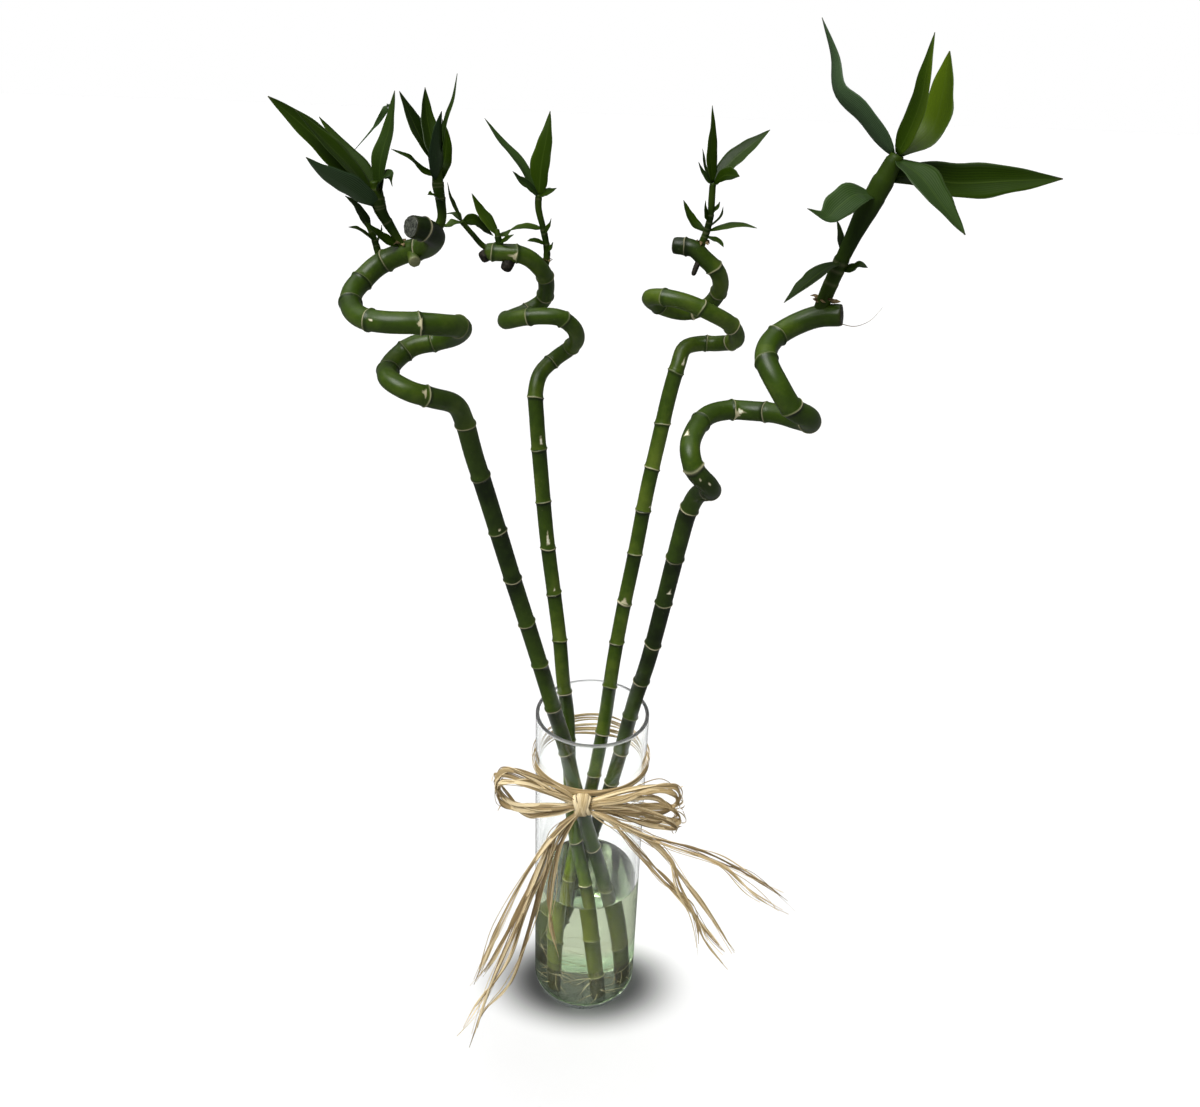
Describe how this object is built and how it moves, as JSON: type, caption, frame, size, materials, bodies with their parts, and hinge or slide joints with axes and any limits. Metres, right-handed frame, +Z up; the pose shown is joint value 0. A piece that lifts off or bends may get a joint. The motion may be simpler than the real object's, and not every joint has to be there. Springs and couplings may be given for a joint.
{
  "type": "lucky bamboo in a glass vase",
  "caption": "Curled lucky bamboo canes with leafy side shoots, standing in a clear glass cylinder vase of water tied with a raffia bow.",
  "frame": {"origin": "centre of the vase's foot, on the surface it stands on", "axes": "+Z up along the vase's axis; +X to the right and +Y away from the viewer, with the bow in front at -Y"},
  "size_m": [0.3865, 0.1873, 0.6982],
  "materials": {
    "vase_glass": "clear, fire-polished",
    "water": "clear, slightly green",
    "cane": "smooth green skin, satin gloss",
    "leaf": "glossy above, duller below",
    "raffia": "dry fibre, matt"
  },
  "bodies": {
    "root": {"vase": "vase_glass", "water": "water", "cane_1": "cane", "cane_2": "cane", "cane_3": "cane", "cane_4": "cane", "shoot_1_left": "leaf", "shoot_1_bud": "leaf", "shoot_1_right": "leaf", "shoot_2_tip": "leaf", "shoot_2_bud": "leaf", "shoot_2_right": "leaf", "shoot_3": "leaf", "shoot_4": "leaf", "raffia_band": "raffia", "raffia_knot": "raffia", "raffia_loop_left": "raffia", "raffia_loop_right": "raffia", "raffia_tails_left": "raffia", "raffia_tails_right": "raffia"}
  },
  "joints": []
}
